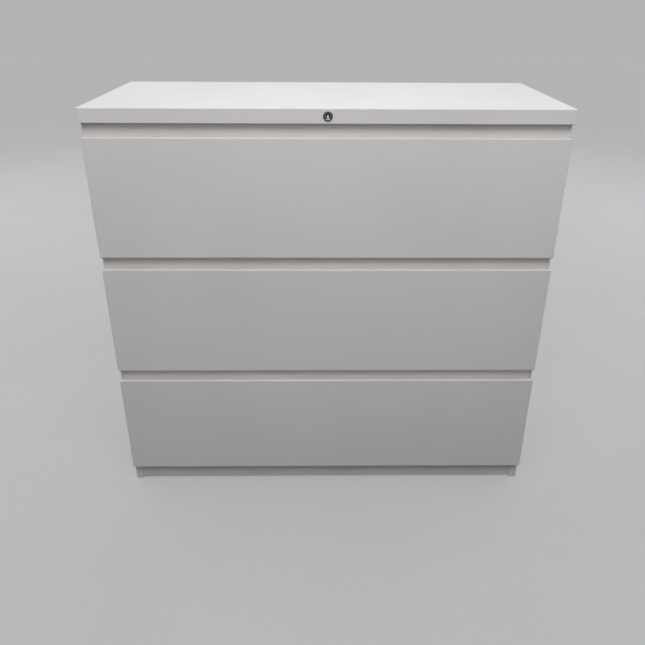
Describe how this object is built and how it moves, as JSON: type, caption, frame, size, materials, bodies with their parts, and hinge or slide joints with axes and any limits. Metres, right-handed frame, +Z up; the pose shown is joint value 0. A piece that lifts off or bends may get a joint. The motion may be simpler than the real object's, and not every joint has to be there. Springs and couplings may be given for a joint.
{
  "type": "lateral filing cabinet",
  "caption": "Low, wide steel filing cabinet with full-width drawers on telescopic slides, finger gaps for pulls, and a lock in the front edge of the top that works a hidden lock bar.",
  "frame": {"origin": "on the floor, under the middle of the cabinet's bounding box", "axes": "+X to the right as seen from the front, +Y from the drawer fronts to the back, +Z up"},
  "size_m": [1.067, 0.4668, 0.998],
  "materials": {
    "white_paint": "white powder coat, satin",
    "zinc_steel": "bright zinc plate",
    "lock_chrome": "polished plate",
    "lock_plug": "dark nickel plate",
    "glide_nylon": "moulded nylon"
  },
  "bodies": {
    "case": {"top_cap": "white_paint", "side_panel_left": "white_paint", "side_panel_right": "white_paint", "back_panel": "white_paint", "base_pan": "white_paint", "kick_rail": "white_paint", "gap_rail_1": "white_paint", "gap_rail_2": "white_paint", "gap_rail_3": "white_paint", "upright_front_left": "zinc_steel", "upright_front_right": "zinc_steel", "upright_rear_left": "zinc_steel", "upright_rear_right": "zinc_steel", "glide_front_left": "glide_nylon", "glide_front_right": "glide_nylon", "glide_rear_left": "glide_nylon", "glide_rear_right": "glide_nylon", "drawer_1_slide_outer_left": "zinc_steel", "drawer_1_slide_outer_right": "zinc_steel", "drawer_2_slide_outer_left": "zinc_steel", "drawer_2_slide_outer_right": "zinc_steel", "drawer_3_slide_outer_left": "zinc_steel", "drawer_3_slide_outer_right": "zinc_steel", "lock_housing": "lock_chrome", "lock_nut": "zinc_steel"},
    "drawer_1": {"drawer_1_front": "white_paint", "drawer_1_tray": "white_paint", "drawer_1_side_left": "white_paint", "drawer_1_side_right": "white_paint", "drawer_1_hang_rail_front": "zinc_steel", "drawer_1_hang_rail_rear": "zinc_steel", "drawer_1_slide_inner_left": "zinc_steel", "drawer_1_slide_inner_right": "zinc_steel"},
    "slide_middle_1": {"drawer_1_slide_middle_left": "zinc_steel", "drawer_1_slide_middle_right": "zinc_steel"},
    "drawer_2": {"drawer_2_front": "white_paint", "drawer_2_tray": "white_paint", "drawer_2_side_left": "white_paint", "drawer_2_side_right": "white_paint", "drawer_2_hang_rail_front": "zinc_steel", "drawer_2_hang_rail_rear": "zinc_steel", "drawer_2_slide_inner_left": "zinc_steel", "drawer_2_slide_inner_right": "zinc_steel"},
    "slide_middle_2": {"drawer_2_slide_middle_left": "zinc_steel", "drawer_2_slide_middle_right": "zinc_steel"},
    "drawer_3": {"drawer_3_front": "white_paint", "drawer_3_tray": "white_paint", "drawer_3_side_left": "white_paint", "drawer_3_side_right": "white_paint", "drawer_3_hang_rail_front": "zinc_steel", "drawer_3_hang_rail_rear": "zinc_steel", "drawer_3_slide_inner_left": "zinc_steel", "drawer_3_slide_inner_right": "zinc_steel"},
    "slide_middle_3": {"drawer_3_slide_middle_left": "zinc_steel", "drawer_3_slide_middle_right": "zinc_steel"},
    "lock_core": {"lock_plug": "lock_plug", "lock_cam": "zinc_steel"},
    "lock_link": {"lock_link": "zinc_steel"},
    "lock_bar": {"lock_bar": "zinc_steel"}
  },
  "joints": [
    {"name": "drawer_1_slide", "type": "slide", "parent": "case", "child": "drawer_1", "axis": [0, -1, 0], "range_m": [0, 0.4]},
    {"name": "drawer_2_slide", "type": "slide", "parent": "case", "child": "drawer_2", "axis": [0, -1, 0], "range_m": [0, 0.4]},
    {"name": "drawer_3_slide", "type": "slide", "parent": "case", "child": "drawer_3", "axis": [0, -1, 0], "range_m": [0, 0.4]},
    {"name": "slide_middle_1_slide", "type": "slide", "parent": "case", "child": "slide_middle_1", "axis": [0, -1, 0], "range_m": [0, 0.2]},
    {"name": "slide_middle_2_slide", "type": "slide", "parent": "case", "child": "slide_middle_2", "axis": [0, -1, 0], "range_m": [0, 0.2]},
    {"name": "slide_middle_3_slide", "type": "slide", "parent": "case", "child": "slide_middle_3", "axis": [0, -1, 0], "range_m": [0, 0.2]},
    {"name": "lock_bar_lift", "type": "slide", "parent": "case", "child": "lock_bar", "axis": [0, 0, 1], "range_m": [0, 0.01]},
    {"name": "lock_link_slide", "type": "slide", "parent": "case", "child": "lock_link", "axis": [-1, 0, 0], "range_m": [0, 0.01]},
    {"name": "lock_turn", "type": "hinge", "parent": "case", "child": "lock_core", "pos_m": [0, -0.2316, 0.982], "axis": [0, 1, 0], "range_deg": [0, 90]}
  ],
  "couplings": [
    {"joint": "slide_middle_1_slide", "follows": "drawer_1_slide", "ratio": 0.5},
    {"joint": "slide_middle_2_slide", "follows": "drawer_2_slide", "ratio": 0.5},
    {"joint": "slide_middle_3_slide", "follows": "drawer_3_slide", "ratio": 0.5},
    {"joint": "lock_link_slide", "follows": "lock_bar_lift", "ratio": 1},
    {"joint": "lock_turn", "follows": "lock_bar_lift", "rad_per_m": 157.08}
  ]
}
